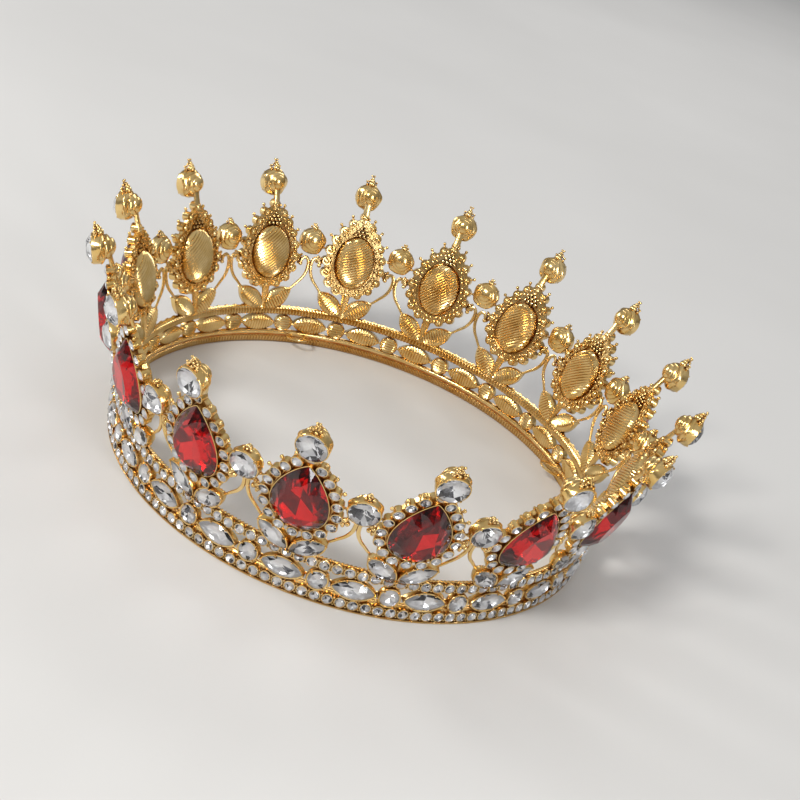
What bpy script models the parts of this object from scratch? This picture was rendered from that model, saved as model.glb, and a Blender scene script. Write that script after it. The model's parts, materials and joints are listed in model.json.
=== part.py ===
"""Full-round crystal tiara with sixteen pear-shaped red stones.

Metres, +Z up. The origin is the centre of the base rim's underside, the tiara stands on
that rim with its peaks up, and one peak faces -Y. Every piece is laid out on the wall:
a cylinder up to the bend, then a cone that flares outwards. A place on the wall is
(angle round the ring, across, up, lift): across and up are lengths along the wall's
face, up is counted from the bend, and lift stands off the face.
"""

import math

import bmesh
import bpy
from mathutils import Matrix, Vector

MM = 0.001
FULL_TURN = 2 * math.pi

# Overall layout
MOTIFS = 16  # peaks, each with one red stone
SEAT_RADIUS = 59.2 * MM  # of the wall's face, where the cups' rims lie
FLARE = math.radians(16)  # of the wall above the bend
RING_STEPS = 48
FRONT = -math.pi / 2

# Clearances and joints
STONE_GAP = 0.3 * MM  # between a stone and the metal behind it
SOLDER_BITE = 0.8 * MM  # how far soldered pieces run into each other

# Base band
BAND_THICK = 0.9 * MM
RIM_LIP = 0.8 * MM
RIM_LIP_HEIGHT = 0.4 * MM
ROW_STONE = 2.2 * MM
ROW_STONE_DEPTH = 1.0 * MM
ROW_SLOPE = 0.2  # of the row's height, at its upper and lower edge
WIRE_ACROSS = 0.9 * MM  # of the two smooth wires inside the base
WIRE_PROUD = 0.6 * MM
RAIL_THICK = 1.3 * MM

# Band stones
MARQUISE_LENGTH = 9.4 * MM
MARQUISE_WIDTH = 4.4 * MM
BAND_ROUND = 4.3 * MM
BAND_SPACE = 0.55 * MM  # between the band's stones and the rows above and below them
BAND_APART = 0.85 * MM  # least room between two stones of the band
LOW_CROWN = 1.4 * MM  # of the band's stones and the leaves
LOW_TABLE = 0.55
BAND_LINK = 0.8 * MM  # the thread that joins the band's stones, square in section
CUP_WALL = 0.4 * MM

# Leaves, the V of two marquise stones under each red stone
LEAF_LENGTH = 8.8 * MM
LEAF_WIDTH = 4.4 * MM
LEAF_TILT = math.radians(37)
LEAF_START_ACROSS = 0.3 * MM
LEAF_START_UP = -0.4 * MM  # the inner ends stand on the upper row
LEAF_CUP_DEPTH = 1.8 * MM
FOOT_WIDTH = 2.0 * MM  # of the post behind each V, from the rail to the halo plate
FOOT_THICK = 1.2 * MM

# Red stones and their halo plates
PEAR_WIDTH = 13.0 * MM
PEAR_LENGTH = 18.0 * MM
PEAR_FOOT = 7.4 * MM  # up the wall to the stone's round end
PEAR_POINTEDNESS = 0.7
PEAR_EDGE = 1.0 * MM  # from the plate to the stone's widest outline
PEAR_CROWN = 2.5 * MM
PEAR_BACK, PEAR_TABLE = 0.94, 0.62  # the flat back and top, as shares of the outline
HALO_WIDTH = 3.1 * MM
HALO_THICK = 1.4 * MM
CUP_DOME = 2.0 * MM
DOME_TOP = 0.6

# Round stones on the peaks and between the motifs
ROUND_STONE = 6.5 * MM
ROUND_CROWN = 1.3 * MM
ROUND_PAVILION = 1.0 * MM
ROUND_BACK, ROUND_TABLE = 0.9, 0.6
CUP_NARROWING = 0.6  # the cup's back end, as a share of the stone
PEAK_NECK = 7.6 * MM  # from the red stone's tip to the peak stone's centre
PEAK_LIFT = 2.6 * MM
PEAK_CUP_DEPTH = 4.0 * MM
PEAK_FINIAL = 3.4 * MM
SIDE_UP = 18.6 * MM
SIDE_LIFT = 0.8 * MM
SIDE_CUP_DEPTH = 2.8 * MM
SIDE_FINIAL = 2.2 * MM
FINIAL_WIDTH = 1.8 * MM
FINIAL_TAPER = 0.5  # its upper end, as a share of its foot
NECK_SINK = 0.2 * MM

# Scroll wires and the eyelets inside the band
SCROLL_WIRE = 0.95 * MM
SCROLL_APART = 0.2 * MM  # of each wire's middle from the space's middle, where two meet
SCROLL_SINK = 0.25 * MM  # of the wires' fronts behind the wall's face
SCROLL_MEET_UP = 12.3 * MM
STEM_WIDTH = 1.52 * MM  # of the bar from the wires' meeting to the side stone's cup
EYELETS = 4
EYELET_RADIUS = 2.8 * MM
EYELET_WIRE = 0.75 * MM
EYELET_TURN = math.radians(33.75)  # of the first eyelet, from the front peak

# How finely the outlines are drawn
PEAR_POINTS = 12
MARQUISE_POINTS = 6
ROUND_POINTS = 8
CUP_POINTS = 6
EYELET_POINTS = 8
WIRE_SIDES = 4

# Worked out from the sizes above
BAND_PITCH = MARQUISE_LENGTH + BAND_ROUND + 2 * BAND_APART
BAND_UNITS = int(FULL_TURN * SEAT_RADIUS / BAND_PITCH)  # of one round and one marquise stone
UNIT_TURN = FULL_TURN / BAND_UNITS
MOTIF_TURN = FULL_TURN / MOTIFS
BASE_ROW_HEIGHT = RIM_LIP_HEIGHT + STONE_GAP + ROW_STONE / 2
BASE_TOP = BASE_ROW_HEIGHT + ROW_STONE
BAND_TALL = max(MARQUISE_WIDTH, BAND_ROUND) + 2 * BAND_SPACE
RAIL_BOTTOM = BASE_ROW_HEIGHT + ROW_STONE / 2 + BAND_TALL
BEND_HEIGHT = RAIL_BOTTOM + ROW_STONE
UPPER_ROW_HEIGHT = BEND_HEIGHT - ROW_STONE / 2
BAND_HEIGHT = (BASE_ROW_HEIGHT + UPPER_ROW_HEIGHT) / 2
PEAR_CENTRE = PEAR_FOOT + PEAR_LENGTH / 2
PEAR_TIP = PEAR_FOOT + PEAR_LENGTH
PEAK_UP = PEAR_TIP + PEAK_NECK
FINIAL_FOOT = ROUND_STONE / 2 + CUP_WALL - SOLDER_BITE

METALS = {"gold": ((0.83, 0.58, 0.20, 1), 0.25)}
GLASSES = {"red_glass": (0.45, 0.005, 0.01, 1), "clear_glass": (0.9, 0.91, 0.92, 1)}


def clear_scene():
    for obj in list(bpy.data.objects):
        bpy.data.objects.remove(obj, do_unlink=True)


def make_material(name, colour, roughness, metallic):
    material = bpy.data.materials.new(name)
    material.use_nodes = True
    shader = material.node_tree.nodes["Principled BSDF"]
    shader.inputs["Base Color"].default_value = colour
    shader.inputs["Roughness"].default_value = roughness
    shader.inputs["Metallic"].default_value = metallic
    material.diffuse_color = colour
    return material


# ---------------------------------------------------------------- the wall


def motif_angle(number):
    """Angle of a motif's middle; a half number is the middle of the space after it."""
    return FRONT + number * MOTIF_TURN


def face_radius(up):
    return SEAT_RADIUS + max(up, 0) * math.sin(FLARE)


def wall_frame(angle, across=0, up=0, lift=0, spin=0):
    """Matrix whose X runs along the wall, Y up it and Z out of it, at a place on it."""
    turn = angle + across / face_radius(up)
    out = Vector((math.cos(turn), math.sin(turn), 0))
    along = Vector((-math.sin(turn), math.cos(turn), 0))
    lean = FLARE if up > 0 else 0
    rise = out * math.sin(lean) + Vector((0, 0, math.cos(lean)))
    normal = along.cross(rise)
    foot = Vector((0, 0, BEND_HEIGHT)) + out * SEAT_RADIUS + rise * up + normal * lift
    turned = Matrix((along, rise, normal)).transposed().to_4x4()
    return Matrix.Translation(foot) @ turned @ Matrix.Rotation(spin, 4, "Z")


def wall_point(angle, across, up, lift=0):
    return wall_frame(angle, across, up, lift).translation


# ---------------------------------------------------------------- outlines


def pear_outline(margin=0):
    """Points of a pear, tip up, about the middle of its length, grown by margin."""

    def raw(t):
        return math.sin(t) * abs(math.sin(t / 2)) ** PEAR_POINTEDNESS

    fine = 400
    widest = max(raw(math.pi * i / fine) for i in range(fine))

    def at(t):
        return Vector((PEAR_WIDTH / 2 * raw(t) / widest, PEAR_LENGTH / 2 * math.cos(t)))

    points = []
    small = 0.02
    for i in range(PEAR_POINTS):
        t = FULL_TURN * i / PEAR_POINTS
        along = at(t + small) - at(t - small)
        normal = Vector((-along.y, along.x)) if i else Vector((0, 1))
        points.append(at(t) + normal.normalized() * margin)
    return points


def marquise_outline(length, width, margin=0):
    """Points of two arcs that meet in a point at each end, long way along X."""
    half, bulge = length / 2 + margin, width / 2 + margin
    radius = (half**2 + bulge**2) / (2 * bulge)
    spread = math.asin(half / radius)
    side = MARQUISE_POINTS // 2
    points = []
    for facing in (1, -1):
        for i in range(side):
            t = facing * spread * (1 - 2 * i / side)
            bow = radius * math.cos(t) - (radius - bulge)
            points.append(Vector((radius * math.sin(t), facing * bow)))
    return points


def round_outline(radius, count=ROUND_POINTS):
    turns = [FULL_TURN * (i + 0.5) / count for i in range(count)]
    return [Vector((math.cos(t), math.sin(t))) * radius for t in turns]


# ---------------------------------------------------------------- mesh makers


def mesh_from(name, points, faces):
    mesh = bpy.data.meshes.new(name)
    mesh.from_pydata([tuple(p) for p in points], [], faces)
    bm = bmesh.new()
    bm.from_mesh(mesh)
    bmesh.ops.recalc_face_normals(bm, faces=bm.faces)
    bm.to_mesh(mesh)
    bm.free()
    return mesh


def loft(name, rings):
    """Closed solid through rings of equal count, with a face over the first and last."""
    count = len(rings[0])
    faces = [list(range(count)), [len(rings) * count - 1 - i for i in range(count)]]
    for level in range(len(rings) - 1):
        for i in range(count):
            a, b = level * count + i, level * count + (i + 1) % count
            faces.append([a, b, b + count, a + count])
    return mesh_from(name, [p for ring in rings for p in ring], faces)


def raised(outline, height, share=1):
    """The outline shrunk to a share of its size, at a height."""
    return [Vector((p.x * share, p.y * share, height)) for p in outline]


def turned_ring(name, profile, steps=RING_STEPS):
    """Ring of a closed (radius, height) profile, turned once about Z."""
    count = len(profile)
    points, faces = [], []
    for step in range(steps):
        t = FULL_TURN * step / steps
        points += [(r * math.cos(t), r * math.sin(t), z) for r, z in profile]
        after = (step + 1) % steps
        for i in range(count):
            j = (i + 1) % count
            faces.append(
                [step * count + i, step * count + j, after * count + j, after * count + i]
            )
    return mesh_from(name, points, faces)


def tube_rings(path, across, outs):
    """Square-ish rings of WIRE_SIDES points round a path, one for each of its points."""
    rings = []
    for i, here in enumerate(path):
        before, after = path[max(i - 1, 0)], path[min(i + 1, len(path) - 1)]
        way = (after - before).normalized()
        side = way.cross(outs[i]).normalized()
        front = side.cross(way)
        ring = []
        for corner in range(WIRE_SIDES):
            t = FULL_TURN * (corner + 0.5) / WIRE_SIDES
            ring.append(here + (side * math.cos(t) + front * math.sin(t)) * across / 2)
        rings.append(ring)
    return rings


# ---------------------------------------------------------------- metal pieces

def add_helper(name, mesh, matrix, collection):
    """A piece that a Boolean joins to something; it isn't a node of its own."""
    obj = bpy.data.objects.new(name, mesh)
    obj.matrix_world = matrix
    obj.hide_render = True
    obj.display_type = "WIRE"
    collection.objects.link(obj)


def add_metal(name, mesh, matrix=None):
    """A piece to be soldered to the band; a mesh laid out in place needs no matrix."""
    add_helper(name, mesh, matrix or Matrix(), solder)


def band_profile():
    """Rim lip, straight outer face, and inside it two wires and the upper rail."""
    outer, inner = SEAT_RADIUS, SEAT_RADIUS - BAND_THICK
    wire, rail = inner - WIRE_PROUD, SEAT_RADIUS - RAIL_THICK
    bevel = WIRE_PROUD / 2
    upper_wire = BASE_TOP - WIRE_ACROSS
    return [
        (wire, 0),
        (outer + RIM_LIP, 0),
        (outer + RIM_LIP, RIM_LIP_HEIGHT),
        (outer, RIM_LIP_HEIGHT + STONE_GAP / 2),
        (outer, BEND_HEIGHT),
        (rail, BEND_HEIGHT),
        (rail, RAIL_BOTTOM),
        (inner, RAIL_BOTTOM - bevel),
        (inner, BASE_TOP + bevel),
        (wire, BASE_TOP),
        (wire, upper_wire),
        (inner, upper_wire - bevel),
        (inner, WIRE_ACROSS + bevel),
        (wire, WIRE_ACROSS),
    ]


def leaf_cup_mesh():
    back = marquise_outline(LEAF_LENGTH, LEAF_WIDTH, -CUP_WALL)
    rim = marquise_outline(LEAF_LENGTH, LEAF_WIDTH, CUP_WALL)
    return loft("leaf_cup", [raised(back, -LEAF_CUP_DEPTH), raised(rim, 0)])


def round_cup(depth):
    radius = ROUND_STONE / 2
    back = raised(round_outline(radius * CUP_NARROWING, CUP_POINTS), -depth)
    return loft("round_cup", [back, raised(round_outline(radius + CUP_WALL, CUP_POINTS), 0)])


def pear_cup():
    """Halo plate and the domed back that holds the red stone's point."""
    halo = pear_outline(HALO_WIDTH)
    rings = [
        raised(pear_outline(), -HALO_THICK - CUP_DOME, DOME_TOP),
        raised(halo, -HALO_THICK),
        raised(halo, 0),
    ]
    return loft("pear_cup", rings)


def finial_mesh(name, height):
    """Tapered post up the wall, the outer form of a pyramid of beads."""
    half = FINIAL_WIDTH / 2
    rings = [
        [Vector((p.x, h, p.y)) for p in round_outline(r, WIRE_SIDES)]
        for r, h in ((half, 0), (half * FINIAL_TAPER, height))
    ]
    return loft(name, rings)


def bar_mesh(name, width, low, high, thick):
    """Flat bar up the wall, from low to high about the local origin."""
    half = width / 2
    outline = [Vector((x * half, y)) for x, y in ((-1, low), (1, low), (1, high), (-1, high))]
    return loft(name, [raised(outline, -thick), raised(outline, 0)])


def scroll_mesh(angle, side):
    """C-shaped wire from a leaf's tip, past the space's middle, back to the halo."""
    meet = math.pi / MOTIFS * face_radius(SCROLL_MEET_UP) - SCROLL_APART
    leaf_tip = LEAF_START_ACROSS + LEAF_LENGTH * math.cos(LEAF_TILT)
    leaf_top = LEAF_START_UP + LEAF_LENGTH * math.sin(LEAF_TILT)
    halo_side = PEAR_WIDTH / 2 + HALO_WIDTH
    route = [
        (leaf_tip - 1.2 * MM, leaf_top + 0.3 * MM),
        (leaf_tip + 1.6 * MM, leaf_top + 1.5 * MM),
        (meet - 0.5 * MM, SCROLL_MEET_UP - 2.6 * MM),
        (meet, SCROLL_MEET_UP),
        (meet - 1.2 * MM, SCROLL_MEET_UP + 2.2 * MM),
        (halo_side - 0.7 * MM, SCROLL_MEET_UP + 2.4 * MM),
    ]
    lift = -SCROLL_WIRE / 2 - SCROLL_SINK
    path = [wall_point(angle, side * x, up, lift) for x, up in route]
    outs = [wall_frame(angle, side * x, up).col[2].to_3d() for x, up in route]
    return loft("scroll", tube_rings(path, SCROLL_WIRE * math.sqrt(2), outs))


def eyelet_mesh():
    """Ring of square wire, lying flat."""
    count, corner = EYELET_POINTS, EYELET_WIRE / math.sqrt(2)
    points, faces = [], []
    for i in range(count):
        t = FULL_TURN * i / count
        for j in range(WIRE_SIDES):
            s = FULL_TURN * (j + 0.5) / WIRE_SIDES
            r = EYELET_RADIUS + corner * math.cos(s)
            points.append((r * math.cos(t), r * math.sin(t), corner * math.sin(s)))
            here, after = i * WIRE_SIDES, (i + 1) % count * WIRE_SIDES
            k = (j + 1) % WIRE_SIDES
            faces.append([here + j, after + j, after + k, here + k])
    return mesh_from("eyelet", points, faces)


def add_eyelets():
    mesh = eyelet_mesh()
    reach = SEAT_RADIUS - BAND_THICK - EYELET_RADIUS
    height = BASE_TOP - WIRE_ACROSS / 2
    for number in range(EYELETS):
        turn = FRONT + EYELET_TURN + number * FULL_TURN / EYELETS
        place = Matrix.Rotation(turn, 4, "Z") @ Matrix.Translation((reach, 0, height))
        add_metal(f"eyelet_{number}", mesh, place)


def leaf_place(angle, side):
    half = LEAF_LENGTH / 2
    across = LEAF_START_ACROSS + half * math.cos(LEAF_TILT)
    up = LEAF_START_UP + half * math.sin(LEAF_TILT)
    return wall_frame(angle, side * across, up, spin=side * LEAF_TILT)


def add_motif_metal(number):
    """One peak: V of leaf cups, post, halo plate, neck, peak cup and its finial."""
    angle = motif_angle(number)
    low, high = -PEAR_FOOT - SOLDER_BITE, -HALO_WIDTH + SOLDER_BITE
    foot = bar_mesh("foot", FOOT_WIDTH, low, high, FOOT_THICK)
    add_metal(f"foot_{number}", foot, wall_frame(angle, up=PEAR_FOOT, lift=-CUP_WALL))
    add_metal(f"pear_cup_{number}", pear_cup(), wall_frame(angle, up=PEAR_CENTRE))
    neck = bar_mesh("neck", ROW_STONE, 0, PEAK_NECK, HALO_THICK)
    add_metal(f"neck_{number}", neck, wall_frame(angle, up=PEAR_TIP, lift=-NECK_SINK))
    place = wall_frame(angle, up=PEAK_UP, lift=PEAK_LIFT)
    add_metal(f"peak_cup_{number}", round_cup(PEAK_CUP_DEPTH), place)
    place = wall_frame(angle, up=PEAK_UP + FINIAL_FOOT, lift=PEAK_LIFT - FINIAL_WIDTH / 2)
    add_metal(f"peak_finial_{number}", finial_mesh("peak_finial", PEAK_FINIAL), place)
    for side in (1, -1):
        name = f"{'right' if side > 0 else 'left'}_{number}"
        add_metal(f"leaf_cup_{name}", leaf_cup_mesh(), leaf_place(angle, side))
        add_metal(f"scroll_{name}", scroll_mesh(angle, side))


def add_side_metal(number):
    """Between two peaks: stem from the scrolls' meeting, cup and its finial."""
    angle = motif_angle(number + 0.5)
    stem = bar_mesh("stem", STEM_WIDTH, 0, SIDE_UP - SCROLL_MEET_UP, SCROLL_WIRE)
    add_metal(f"stem_{number}", stem, wall_frame(angle, up=SCROLL_MEET_UP))
    place = wall_frame(angle, up=SIDE_UP, lift=SIDE_LIFT)
    add_metal(f"side_cup_{number}", round_cup(SIDE_CUP_DEPTH), place)
    place = wall_frame(angle, up=SIDE_UP + FINIAL_FOOT, lift=SIDE_LIFT - FINIAL_WIDTH / 2)
    add_metal(f"side_finial_{number}", finial_mesh("side_finial", SIDE_FINIAL), place)


def union_with(obj, collection):
    """Joins the collection's pieces on. EXACT leaves open edges where this many meet."""
    modifier = obj.modifiers.new("Solder", "BOOLEAN")
    modifier.operation = "UNION"
    modifier.solver = "MANIFOLD"
    modifier.operand_type = "COLLECTION"
    modifier.collection = collection


# ---------------------------------------------------------------- stones


def add_node(name, mesh, material, matrix=None, parent=None):
    obj = bpy.data.objects.new(name, mesh)
    bpy.context.scene.collection.objects.link(obj)
    obj.parent = parent
    obj.matrix_world = matrix or Matrix()
    if not mesh.materials:
        mesh.materials.append(material)
    return obj


def pear_stone():
    rings = [
        raised(pear_outline(), STONE_GAP, PEAR_BACK),
        raised(pear_outline(), STONE_GAP + PEAR_EDGE),
        raised(pear_outline(), STONE_GAP + PEAR_EDGE + PEAR_CROWN, PEAR_TABLE),
    ]
    return loft("red_stone", rings)


def round_stone():
    outline, girdle = round_outline(ROUND_STONE / 2), STONE_GAP + ROUND_PAVILION
    rings = [
        raised(outline, STONE_GAP, ROUND_BACK),
        raised(outline, girdle),
        raised(outline, girdle + ROUND_CROWN, ROUND_TABLE),
    ]
    return loft("round_stone", rings)


def flat_backed(name, outline):
    """Low stone on the wall's face: its outline below and its table above."""
    table = raised(outline, STONE_GAP + LOW_CROWN, LOW_TABLE)
    return loft(name, [raised(outline, STONE_GAP), table])


def row_ring(name, height, tall, top=ROW_STONE_DEPTH):
    """Row of small stones, as the one low ring that they make."""
    inner, outer = SEAT_RADIUS + STONE_GAP, SEAT_RADIUS + STONE_GAP + top
    low, high = height - tall / 2, height + tall / 2
    slope = tall * ROW_SLOPE
    profile = [(inner, low), (outer, low + slope), (outer, high - slope), (inner, high)]
    return turned_ring(name, profile)


def joined_stones(name, ring_mesh, pieces, material):
    """One node: a ring, and the stones that it threads, united with it."""
    strung = bpy.data.collections.new(name + "_pieces")
    bpy.context.scene.collection.children.link(strung)
    for number, (mesh, place) in enumerate(pieces):
        add_helper(f"{name}_piece_{number}", mesh, place, strung)
    union_with(add_node(name, ring_mesh, material), strung)


def add_band_stones(material):
    marquise = flat_backed("band_marquise", marquise_outline(MARQUISE_LENGTH, MARQUISE_WIDTH))
    round_one = flat_backed("band_round", round_outline(BAND_ROUND / 2))
    up = BAND_HEIGHT - BEND_HEIGHT
    pieces = []
    for unit in range(BAND_UNITS):
        angle = FRONT + unit * UNIT_TURN
        pieces.append((round_one, wall_frame(angle, up=up)))
        pieces.append((marquise, wall_frame(angle + UNIT_TURN / 2, up=up)))
    thread = row_ring("band_thread", BAND_HEIGHT, BAND_LINK, BAND_LINK)
    joined_stones("band_stones", thread, pieces, material)


def add_leaf_stones(material):
    leaf = flat_backed("leaf", marquise_outline(LEAF_LENGTH, LEAF_WIDTH))
    pieces = []
    for number in range(MOTIFS):
        for side in (1, -1):
            pieces.append((leaf, leaf_place(motif_angle(number), side)))
    row = row_ring("upper_row", UPPER_ROW_HEIGHT, ROW_STONE)
    joined_stones("leaf_stones", row, pieces, material)


def add_stones(red, clear):
    pear, round_one = pear_stone(), round_stone()
    top = bpy.data.objects.new("stones", None)
    bpy.context.scene.collection.objects.link(top)
    for number in range(MOTIFS):
        tag = f"{number + 1:02d}"
        angle, between = motif_angle(number), motif_angle(number + 0.5)
        add_node(f"red_stone_{tag}", pear, red, wall_frame(angle, up=PEAR_CENTRE), top)
        place = wall_frame(angle, up=PEAK_UP, lift=PEAK_LIFT)
        add_node(f"peak_stone_{tag}", round_one, clear, place, top)
        place = wall_frame(between, up=SIDE_UP, lift=SIDE_LIFT)
        add_node(f"side_stone_{tag}", round_one, clear, place, top)
    add_band_stones(clear)
    add_leaf_stones(clear)
    add_node("base_stones", row_ring("base_row", BASE_ROW_HEIGHT, ROW_STONE), clear)


clear_scene()
solder = bpy.data.collections.new("soldered_metal")
bpy.context.scene.collection.children.link(solder)
gold_colour, gold_roughness = METALS["gold"]
gold = make_material("gold", gold_colour, gold_roughness, 1)
red_glass = make_material("red_glass", GLASSES["red_glass"], 0.05, 0)
clear_glass = make_material("clear_glass", GLASSES["clear_glass"], 0.05, 0)

frame = add_node("frame", turned_ring("band", band_profile()), gold)
add_eyelets()
for motif in range(MOTIFS):
    add_motif_metal(motif)
    add_side_metal(motif)
union_with(frame, solder)
add_stones(red_glass, clear_glass)
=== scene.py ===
"""Looks of the crystal tiara: gilded openwork, faceted stones, floor, light and camera.

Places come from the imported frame: the wall that everything stands on is read off the CAD
stones, and a place on it is (angle round the ring, across, up, lift), as lengths along
the wall's face, up it from the bend, and off it. Local X runs along the wall, Y up it
and Z out of it.
"""

import json
import math
import random

import bpy
from mathutils import Matrix, Vector

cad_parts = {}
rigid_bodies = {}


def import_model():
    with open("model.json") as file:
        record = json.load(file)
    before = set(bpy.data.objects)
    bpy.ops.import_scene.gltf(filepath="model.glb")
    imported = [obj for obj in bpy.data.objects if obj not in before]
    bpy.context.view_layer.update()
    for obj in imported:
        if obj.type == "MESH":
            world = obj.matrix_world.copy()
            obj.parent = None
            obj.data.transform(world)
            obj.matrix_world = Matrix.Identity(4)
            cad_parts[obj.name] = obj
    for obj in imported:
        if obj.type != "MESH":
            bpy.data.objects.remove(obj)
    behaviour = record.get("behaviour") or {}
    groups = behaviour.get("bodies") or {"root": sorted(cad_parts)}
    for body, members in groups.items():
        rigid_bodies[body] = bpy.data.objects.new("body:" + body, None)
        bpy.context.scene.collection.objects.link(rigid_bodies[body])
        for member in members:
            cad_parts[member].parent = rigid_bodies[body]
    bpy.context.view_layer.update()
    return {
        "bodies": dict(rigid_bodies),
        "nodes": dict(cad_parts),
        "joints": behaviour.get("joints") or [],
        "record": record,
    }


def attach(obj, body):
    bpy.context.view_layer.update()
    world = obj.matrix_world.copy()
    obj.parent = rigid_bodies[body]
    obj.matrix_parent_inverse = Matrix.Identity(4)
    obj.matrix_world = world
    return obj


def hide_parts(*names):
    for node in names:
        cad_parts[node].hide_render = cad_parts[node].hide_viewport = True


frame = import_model()

MM = 0.001
TURN = 2 * math.pi
FRONT = -math.pi / 2
UP = Vector((0, 0, 1))

# Counts
MOTIFS = 16
BAND_UNITS = 24
ROW_COUNT = 136  # small stones in each row
HALO_COUNT = 18  # places round a red stone, the first of them at its tip
EYELETS = 4
PEAR_STEPS = 72  # points on the outline of the metal round a red stone
ROPE_RIBS = 3 * ROW_COUNT  # round the strip inside the rim, and round the rail
ROPE_STEPS = 5 * ROPE_RIBS

# Stones
STONE_GAP = 0.3 * MM  # of the CAD stones off the wall
SMALL = 1.12 * MM  # radius of the small stones
BAND_ROUND = 2.15 * MM  # radius of the band's round stones
BAND_MARQUISE = (9.4 * MM, 4.4 * MM)
LEAF = (8.8 * MM, 4.4 * MM)
LEAF_TILT = math.radians(37)
LEAF_START = (0.3 * MM, -0.4 * MM)  # its lower tip, across from the motif's middle and up
ROUND = 3.25 * MM  # radius of the peak and side stones
PEAR_POINTEDNESS = 0.7

# Cuts: height of the girdle, of the table above it and of the lowest point below it
SMALL_CUT = (0.6 * MM, 0.38 * MM, 0.52 * MM)
BAND_ROUND_CUT = (0.75 * MM, 0.75 * MM, 0.8 * MM)
BAND_MARQUISE_CUT = (0.75 * MM, 1.0 * MM, 0.8 * MM)
LEAF_CUT = (0.75 * MM, 1.0 * MM, 1.1 * MM)
ROUND_CUT = (1.15 * MM, 1.2 * MM, 1.6 * MM)
PEAR_CUT = (1.15 * MM, 2.3 * MM, 1.9 * MM)
BELT = 0.04  # thickness of the girdle, of the stone's whole height
STAR_RISE = 0.55  # height of the corners round the table, of the crown's
PAVILION_DROP = 0.62  # depth of the foil's inner ring of corners, of the pavilion's
PAVILION_SHARE = 0.55  # size of that ring, of the outline's
SMALL_TILT = 0.04  # spread of the small stones' tilt, in radians

# Metal
SHARP_ANGLE = math.radians(40)
RIM_DEPTH = 0.9 * MM  # from the stones' seats in to the rim's inside
ROW_LIFT = 0.05 * MM  # of the rows' stones and cups, off the wall
GRAIN = 0.27 * MM  # radius of the grains between the small stones of a row
GRAIN_SHIFT = 0.78 * MM  # of those grains, up and down from the row's middle
CLAW = 0.24 * MM  # radius of the beads that hold a stone
CUP_WALL = 0.35 * MM
CUP_LIP = 0.06 * MM
CUP_INSIDE = -0.05 * MM  # margin of a cup's inside from its stone
BAND_CUP_LOW = -0.6 * MM
PLATE_THICK = 1.0 * MM
PLATE_TOP = 0.1 * MM
RECESS_HEIGHTS = (-0.6 * MM, -0.4 * MM)  # of the recessed ring of plate round a dome
HALO_REACH = 1.6 * MM  # from the red stone's edge to the middle of the small stones
HALO_LIFT = 0.5 * MM  # of the small stones, off the wall
TIP_REACH = 2.2 * MM  # from the red stone's tip to the middle of the small stone above it
BEZEL = (  # margin round the red stone and height of each edge of its thin wall
    (0.24 * MM, 0.1 * MM), (0.16 * MM, 1.05 * MM), (0.04 * MM, 1.12 * MM),
    (-0.05 * MM, 1.05 * MM), (-0.05 * MM, 0),
)
DOME = (11.2 * MM, 14.6 * MM)  # width and length of the ribbed dome behind a red stone
DOME_DOWN = 1.4 * MM  # of its middle, below the stone's
DOME_LOW, DOME_DEEP, DOME_PITCH = -0.5 * MM, 2.8 * MM, 0.7 * MM  # edge, depth, pitch of ribs
DOME_EDGE = 0.48  # of the dome's width and length, where the plate round it begins
WIRE = 0.45 * MM  # radius of the scrolls, before they are tapered
EYELET_RADIUS = 2.8 * MM
EYELET_WIRE = 0.36 * MM
EYELET_TURN = math.radians(33.75)  # of the first one, from the front
RIB = 0.75 * MM  # pitch of the ribs on the cups' backs
RIB_DEPTH = 0.15 * MM

random.seed(4)


# ---------------------------------------------------------------- places from the frame


def points_of(node):
    return [v.co.copy() for v in frame["nodes"][node].data.vertices]


class Seat:
    """Flat back of a CAD stone: its axes, its middle and its size along the wall."""

    def __init__(self, node):
        points = points_of(node)
        middle = sum(points, Vector()) / len(points)
        out = Vector((middle.x, middle.y, 0)).normalized()
        faces = frame["nodes"][node].data.polygons
        back = max((f for f in faces if f.normal.dot(out) < -0.5), key=lambda f: f.area)
        normal = -back.normal
        along = UP.cross(normal).normalized()
        self.axes = Matrix((along, normal.cross(along), normal)).transposed()
        local = [self.axes.transposed() @ p for p in points]
        low = Vector([min(p[i] for p in local) for i in range(3)])
        high = Vector([max(p[i] for p in local) for i in range(3)])
        self.size = high - low
        self.origin = self.axes @ Vector(((low.x + high.x) / 2, (low.y + high.y) / 2, low.z))

    def place(self):
        """Matrix at the middle of the seat, on the wall's side of the gap."""
        return Matrix.Translation(self.origin - self.axes.col[2] * STONE_GAP) @ self.axes.to_4x4()


red_seat, peak_seat, side_seat = Seat("red_stone_01"), Seat("peak_stone_01"), Seat("side_stone_01")
base_points = points_of("base_stones")
SEAT_RADIUS = min(math.hypot(p.x, p.y) for p in base_points) - STONE_GAP
ROW_LOW, ROW_HIGH = min(p.z for p in base_points), max(p.z for p in base_points)
ROW_TALL = ROW_HIGH - ROW_LOW
BASE_ROW = (ROW_LOW + ROW_HIGH) / 2
FLARE = math.asin(-red_seat.axes.col[2].z)


def on_wall(seat):
    """(radius, height) of the seat's middle, on the wall's face or at its lift."""
    foot = seat.place().translation
    return math.hypot(foot.x, foot.y), foot.z


red_radius, red_height = on_wall(red_seat)
RED_UP = (red_radius - SEAT_RADIUS) / math.sin(FLARE)
BEND = red_height - RED_UP * math.cos(FLARE)
UPPER_ROW = BEND - ROW_TALL / 2
BAND_MIDDLE = (BASE_ROW + UPPER_ROW) / 2
PEAR_WIDTH, PEAR_LENGTH = red_seat.size.x, red_seat.size.y
PEAR_TIP = RED_UP + PEAR_LENGTH / 2


def seat_up_lift(seat):
    """How far up the wall and off it a seat's middle is."""
    radius, height = on_wall(seat)
    r, z = radius - SEAT_RADIUS, height - BEND
    up = r * math.sin(FLARE) + z * math.cos(FLARE)
    return up, r * math.cos(FLARE) - z * math.sin(FLARE)


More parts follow.
